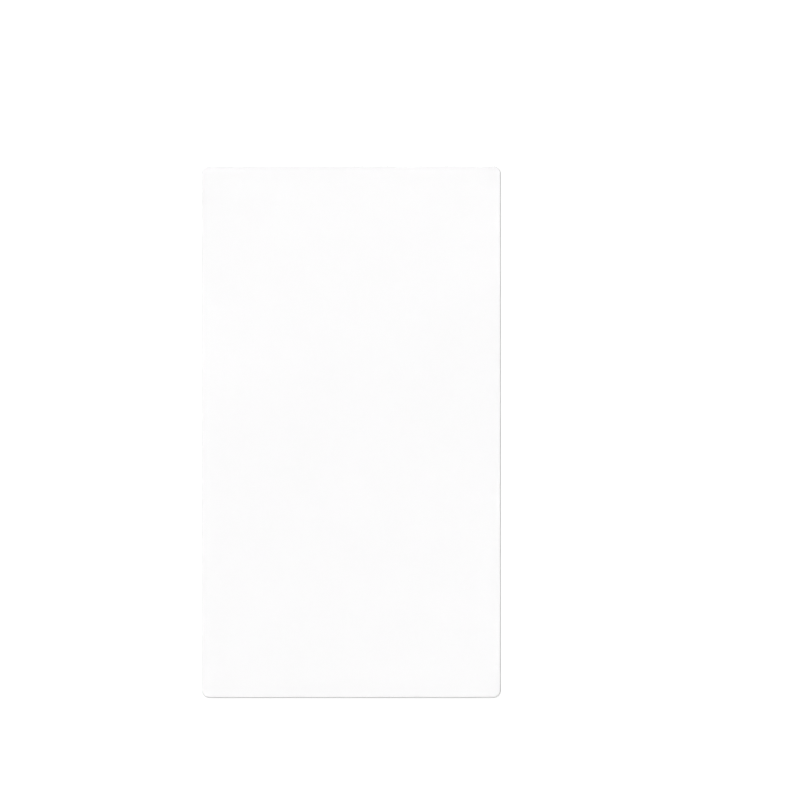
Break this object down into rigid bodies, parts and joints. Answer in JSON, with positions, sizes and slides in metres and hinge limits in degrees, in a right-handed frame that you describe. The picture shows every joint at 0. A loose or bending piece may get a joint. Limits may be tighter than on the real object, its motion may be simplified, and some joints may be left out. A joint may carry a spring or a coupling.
{
  "type": "screen protector",
  "caption": "Flat clear tempered-glass sheet with rounded corners and a softly curved ground rim, stuck over a laptop or tablet display to keep it from scratches.",
  "frame": {"origin": "middle of the underside, which is the face that goes onto the display", "axes": "+X across the short side, +Y along the long side, +Z out of the touched face, away from the display"},
  "size_m": [0.165, 0.2934, 0.0003],
  "materials": {
    "clear_glass": "polished clear faces, finely ground rim"
  },
  "bodies": {
    "root": {"glass_sheet": "clear_glass"}
  },
  "joints": []
}
